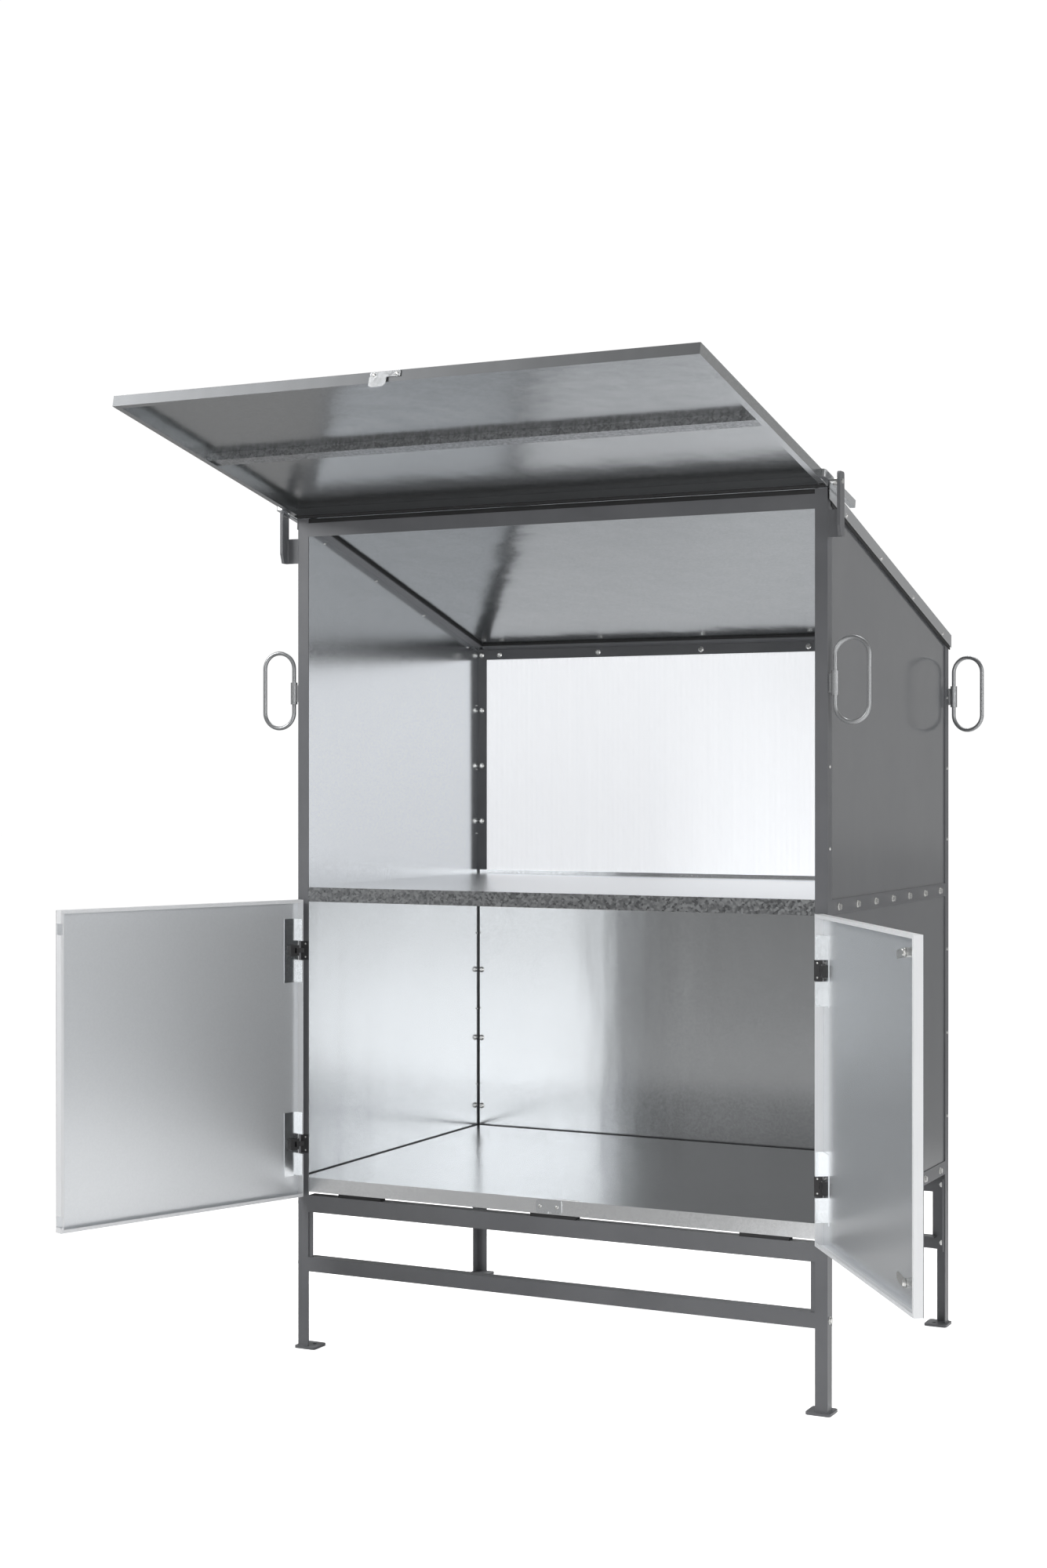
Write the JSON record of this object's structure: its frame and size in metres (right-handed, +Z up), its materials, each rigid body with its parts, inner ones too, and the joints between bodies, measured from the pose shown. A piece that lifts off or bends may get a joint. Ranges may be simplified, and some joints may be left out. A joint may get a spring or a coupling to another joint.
{
  "type": "garden display cabinet",
  "caption": "Tall steel-angle garden cabinet with a sloping roof, lift-up front flap over a shelf, two-door cupboard below, open legs on foot plates and swinging carry rings.",
  "frame": {"origin": "on the floor, at the middle of the four foot plate holes", "axes": "+X to the right along the front, +Y to the back, +Z up; the doors and the flap open towards -Y"},
  "size_m": [2.0392, 1.7679, 2.2878],
  "materials": {
    "frame_paint": "anthracite satin paint on welded angle iron",
    "panel_paint": "grey semi-gloss coated sheet",
    "galvanised": "bright galvanised sheet with fine spangle",
    "door_rim": "bright mill-finish edge profile",
    "bolts": "zinc-plated fasteners and locks",
    "rubber": "matt black sealing rubber",
    "black_plastic": "black glass-filled nylon hinges",
    "opal_sheet": "opal twin-wall sheet, translucent in the real one"
  },
  "bodies": {
    "cabinet": {"front_left_post": "frame_paint", "front_right_post": "frame_paint", "rear_left_post": "frame_paint", "rear_right_post": "frame_paint", "foot_plates": "frame_paint", "top_front_beam": "frame_paint", "front_leg_beam": "frame_paint", "front_stretcher": "frame_paint", "rear_leg_beam": "frame_paint", "rear_stretcher": "frame_paint", "leg_uprights": "frame_paint", "mid_rails": "frame_paint", "bottom_rails": "frame_paint", "roof_rails": "frame_paint", "rear_top_rail": "frame_paint", "left_upper_panel": "panel_paint", "left_lower_panel": "panel_paint", "right_upper_panel": "panel_paint", "right_lower_panel": "panel_paint", "rear_lower_panel": "galvanised", "rear_window": "opal_sheet", "roof_panel": "galvanised", "roof_seals": "rubber", "front_seal": "rubber", "shelf": "galvanised", "floor_tray": "galvanised", "floor_pads": "rubber", "striker_plate": "galvanised", "striker_screws": "bolts", "flap_brackets": "frame_paint", "flap_pivot_pins": "bolts", "ring_sleeves": "frame_paint", "hinge_post_leaves": "black_plastic", "hinge_pins": "bolts", "rail_bolts": "bolts", "window_bolts": "bolts", "leg_bolts": "bolts", "panel_screws": "bolts", "roof_screws": "bolts"},
    "flap": {"flap_panel": "galvanised", "flap_rib": "galvanised", "flap_arms": "galvanised", "flap_latch": "galvanised", "flap_latch_screws": "bolts"},
    "left_door": {"left_door_skin": "panel_paint", "left_door_frame": "door_rim", "left_hinge_plates": "galvanised", "left_hinge_leaves": "black_plastic"},
    "right_door": {"right_door_skin": "panel_paint", "right_door_frame": "door_rim", "right_hinge_plates": "galvanised", "right_hinge_leaves": "black_plastic", "lock_bodies": "bolts"},
    "upper_cam": {"upper_lock_cam": "bolts"},
    "lower_cam": {"lower_lock_cam": "bolts"},
    "front_left_ring_body": {"front_left_ring": "frame_paint"},
    "front_right_ring_body": {"front_right_ring": "frame_paint"},
    "rear_left_ring_body": {"rear_left_ring": "frame_paint"},
    "rear_right_ring_body": {"rear_right_ring": "frame_paint"}
  },
  "joints": [
    {"name": "flap_hinge", "type": "hinge", "parent": "cabinet", "child": "flap", "pos_m": [0, -0.499, 2.103], "axis": [1, 0, 0], "range_deg": [0, 102.5]},
    {"name": "left_door_hinge", "type": "hinge", "parent": "cabinet", "child": "left_door", "pos_m": [-0.6915, -0.5055, 0.76], "axis": [0, 0, 1], "range_deg": [-24, 111]},
    {"name": "right_door_hinge", "type": "hinge", "parent": "cabinet", "child": "right_door", "pos_m": [0.6915, -0.5055, 0.76], "axis": [0, 0, 1], "range_deg": [-125, 10]},
    {"name": "upper_cam_turn", "type": "hinge", "parent": "right_door", "child": "upper_cam", "pos_m": [1.05187, -1.05765, 1.096], "axis": [-0.8192, -0.5736, 0], "range_deg": [-100, 0]},
    {"name": "lower_cam_turn", "type": "hinge", "parent": "right_door", "child": "lower_cam", "pos_m": [1.05187, -1.05765, 0.448], "axis": [-0.8192, -0.5736, 0], "range_deg": [0, 100]},
    {"name": "front_left_ring_swing", "type": "hinge", "parent": "cabinet", "child": "front_left_ring_body", "pos_m": [-0.716, -0.483, 1.659], "axis": [0, 0, 1], "range_deg": [-94, 80]},
    {"name": "front_right_ring_swing", "type": "hinge", "parent": "cabinet", "child": "front_right_ring_body", "pos_m": [0.716, -0.483, 1.659], "axis": [0, 0, 1], "range_deg": [-88, 86]},
    {"name": "rear_left_ring_swing", "type": "hinge", "parent": "cabinet", "child": "rear_left_ring_body", "pos_m": [-0.716, 0.483, 1.659], "axis": [0, 0, 1], "range_deg": [-88, 86]},
    {"name": "rear_right_ring_swing", "type": "hinge", "parent": "cabinet", "child": "rear_right_ring_body", "pos_m": [0.716, 0.483, 1.659], "axis": [0, 0, 1], "range_deg": [-76, 98]}
  ]
}
